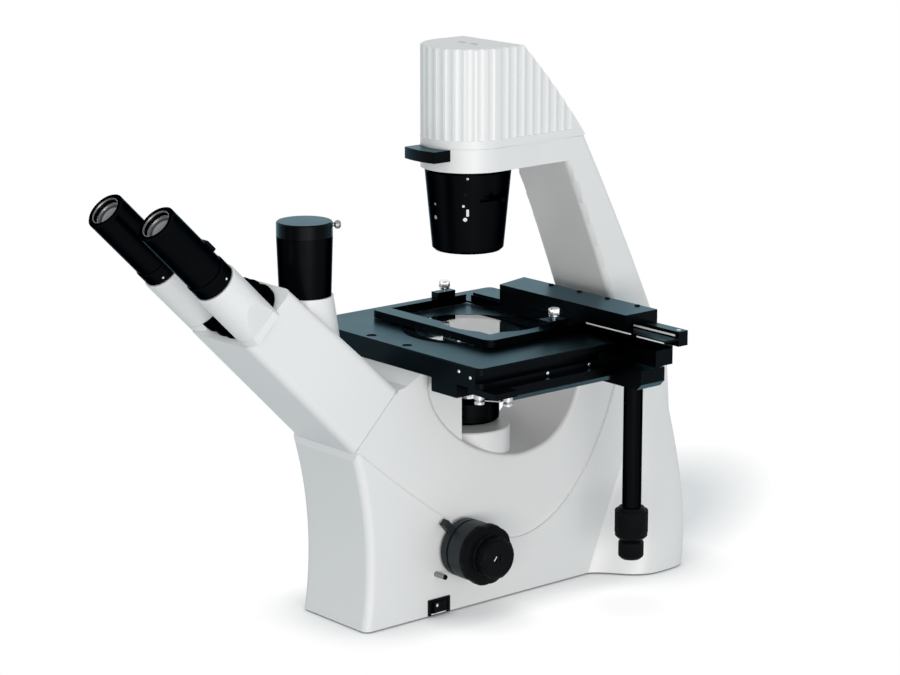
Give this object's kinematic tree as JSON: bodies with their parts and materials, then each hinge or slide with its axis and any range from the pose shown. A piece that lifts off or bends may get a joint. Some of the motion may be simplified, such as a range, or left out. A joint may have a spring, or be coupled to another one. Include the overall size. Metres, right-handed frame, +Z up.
{
  "type": "inverted microscope",
  "caption": "Inverted laboratory microscope: white stand with inclined binocular head, photo tube, mechanical stage with vessel holder, nosepiece below and lamp house on an arm above.",
  "frame": {"origin": "point where the vertical optical axis of the condenser and the objective in use meets the table", "axes": "+Z up along the optical axis, -Y towards the operator and the eyepieces, +X to the operator's right, where the stage knobs hang"},
  "size_m": [0.2795, 0.5425, 0.4667],
  "materials": {
    "white_paint": "satin",
    "black_anodised": "satin",
    "black_plastic": "matte",
    "chrome": "polished",
    "steel": "satin",
    "glass": "gloss",
    "rubber": "matte",
    "circuit_board": "satin"
  },
  "bodies": {
    "stand": {"stand_body": "white_paint", "base_plate": "steel", "rubber_feet": "rubber", "arm": "white_paint", "lamp_house": "white_paint", "lamp_bracket": "steel", "lamp_bulb": "glass", "illuminator_lenses": "glass", "condenser_barrel": "black_anodised", "head_housing": "white_paint", "relay_optics": "glass", "mirror_mounts": "black_anodised", "photo_cone": "white_paint", "photo_tube": "black_anodised", "pivot_screw": "steel", "stage_plate": "black_anodised", "stage_insert": "glass", "stage_screws": "steel", "stage_rails": "black_anodised", "knob_bracket": "black_anodised", "knob_post": "black_anodised", "wire_drive": "chrome", "shaft_bushes": "black_anodised", "switch_bezel": "black_plastic", "power_inlet": "black_plastic", "power_board": "circuit_board"},
    "iris": {"iris_ring": "black_anodised"},
    "filter": {"filter_slider": "black_anodised", "filter_glass": "glass"},
    "photo_cap": {"photo_cap": "black_anodised"},
    "lock_screw": {"lock_screw": "steel"},
    "right_tube": {"right_swing_plate": "black_anodised", "right_prism_housing": "white_paint", "right_eyepiece": "black_anodised", "right_eye_lens": "glass"},
    "left_tube": {"left_swing_plate": "black_anodised", "left_prism_housing": "white_paint", "left_eyepiece": "black_anodised", "left_eye_lens": "glass"},
    "right_diopter": {"right_diopter_ring": "black_anodised"},
    "left_diopter": {"left_diopter_ring": "black_anodised"},
    "y_stage": {"y_carriage": "black_anodised"},
    "x_stage": {"x_bar": "black_anodised", "rail_strip": "chrome", "vessel_holder": "black_anodised"},
    "y_knob": {"y_knob": "black_plastic"},
    "x_knob": {"x_knob": "black_plastic"},
    "left_clamp": {"left_clamp_screw": "chrome"},
    "right_clamp": {"right_clamp_screw": "chrome"},
    "carriage": {"nosepiece_carriage": "white_paint"},
    "turret": {"turret": "black_anodised", "objectives": "chrome"},
    "coarse": {"pinion_sleeve": "steel", "coarse_knobs": "black_plastic"},
    "fine": {"fine_shaft": "steel", "fine_knobs": "black_plastic"},
    "tension": {"tension_ring": "black_plastic"},
    "light_rod": {"light_path_rod": "chrome"},
    "rocker": {"rocker": "black_plastic"},
    "dial": {"brightness_dial": "black_plastic"}
  },
  "joints": [
    {"name": "iris_turn", "type": "hinge", "parent": "stand", "child": "iris", "pos_m": [0, 0, 0.342], "axis": [0, 0, 1], "range_deg": [-18, 18]},
    {"name": "filter_pull", "type": "slide", "parent": "stand", "child": "filter", "axis": [0, -1, 0], "range_m": [0, 0.045]},
    {"name": "photo_cap_lift", "type": "slide", "parent": "stand", "child": "photo_cap", "axis": [0, 0, 1], "range_m": [0, 0.06]},
    {"name": "lock_screw_turn", "type": "hinge", "parent": "photo_cap", "child": "lock_screw", "pos_m": [0, -0.1706, 0.3371], "axis": [0.6428, 0.766, 0], "range_deg": [-180, 180]},
    {"name": "right_tube_swing", "type": "hinge", "parent": "stand", "child": "right_tube", "pos_m": [0, -0.23426, 0.27669], "axis": [0, -0.7071, 0.7071], "range_deg": [0, 56]},
    {"name": "left_tube_swing", "type": "hinge", "parent": "stand", "child": "left_tube", "pos_m": [0, -0.23426, 0.27669], "axis": [0, -0.7071, 0.7071], "range_deg": [-56, 0]},
    {"name": "right_diopter_turn", "type": "hinge", "parent": "right_tube", "child": "right_diopter", "pos_m": [0.034, -0.2414, 0.26955], "axis": [0, -0.7071, 0.7071], "range_deg": [-90, 90]},
    {"name": "left_diopter_turn", "type": "hinge", "parent": "left_tube", "child": "left_diopter", "pos_m": [-0.034, -0.2414, 0.26955], "axis": [0, -0.7071, 0.7071], "range_deg": [-90, 90]},
    {"name": "stage_y", "type": "slide", "parent": "stand", "child": "y_stage", "axis": [0, 1, 0], "range_m": [-0.062, 0.01]},
    {"name": "stage_x", "type": "slide", "parent": "y_stage", "child": "x_stage", "axis": [1, 0, 0], "range_m": [-0.043, 0.071]},
    {"name": "y_knob_turn", "type": "hinge", "parent": "stand", "child": "y_knob", "pos_m": [0.1271, 0.0709, 0.15], "axis": [0, 0, 1], "range_deg": [-760, 125]},
    {"name": "x_knob_turn", "type": "hinge", "parent": "stand", "child": "x_knob", "pos_m": [0.1271, 0.0709, 0.15], "axis": [0, 0, 1], "range_deg": [-530, 870]},
    {"name": "left_clamp_turn", "type": "hinge", "parent": "x_stage", "child": "left_clamp", "pos_m": [-0.0827, 0.044, 0.244], "axis": [0, 0, 1], "range_deg": [-180, 180]},
    {"name": "right_clamp_turn", "type": "hinge", "parent": "x_stage", "child": "right_clamp", "pos_m": [0.0591, 0.044, 0.244], "axis": [0, 0, 1], "range_deg": [-180, 180]},
    {"name": "focus_lift", "type": "slide", "parent": "stand", "child": "carriage", "axis": [0, 0, 1], "range_m": [-0.005, 0.004]},
    {"name": "coarse_turn", "type": "hinge", "parent": "stand", "child": "coarse", "pos_m": [0, -0.044, 0.0555], "axis": [1, 0, 0], "range_deg": [-39, 31]},
    {"name": "turret_turn", "type": "hinge", "parent": "carriage", "child": "turret", "pos_m": [-0.0115, 0.00975, 0.15], "axis": [0, 0, 1], "continuous": true},
    {"name": "fine_turn", "type": "hinge", "parent": "stand", "child": "fine", "pos_m": [0, -0.044, 0.0555], "axis": [1, 0, 0], "continuous": true},
    {"name": "tension_turn", "type": "hinge", "parent": "stand", "child": "tension", "pos_m": [0, -0.044, 0.0555], "axis": [1, 0, 0], "range_deg": [-25, 25]},
    {"name": "light_rod_pull", "type": "slide", "parent": "stand", "child": "light_rod", "axis": [1, 0, 0], "range_m": [0, 0.01]},
    {"name": "rocker_press", "type": "hinge", "parent": "stand", "child": "rocker", "pos_m": [0.042, -0.0685, 0.0086], "axis": [0, 0, 1], "range_deg": [-12, 0]},
    {"name": "dial_turn", "type": "hinge", "parent": "stand", "child": "dial", "pos_m": [-0.045, -0.104, 0.03], "axis": [-1, 0, 0], "range_deg": [0, 270]}
  ],
  "couplings": [
    {"joint": "left_tube_swing", "follows": "right_tube_swing", "ratio": -1},
    {"joint": "y_knob_turn", "follows": "stage_y", "rad_per_m": 212.77},
    {"joint": "x_knob_turn", "follows": "stage_x", "rad_per_m": 212.77},
    {"joint": "coarse_turn", "follows": "focus_lift", "rad_per_m": 133.33}
  ]
}
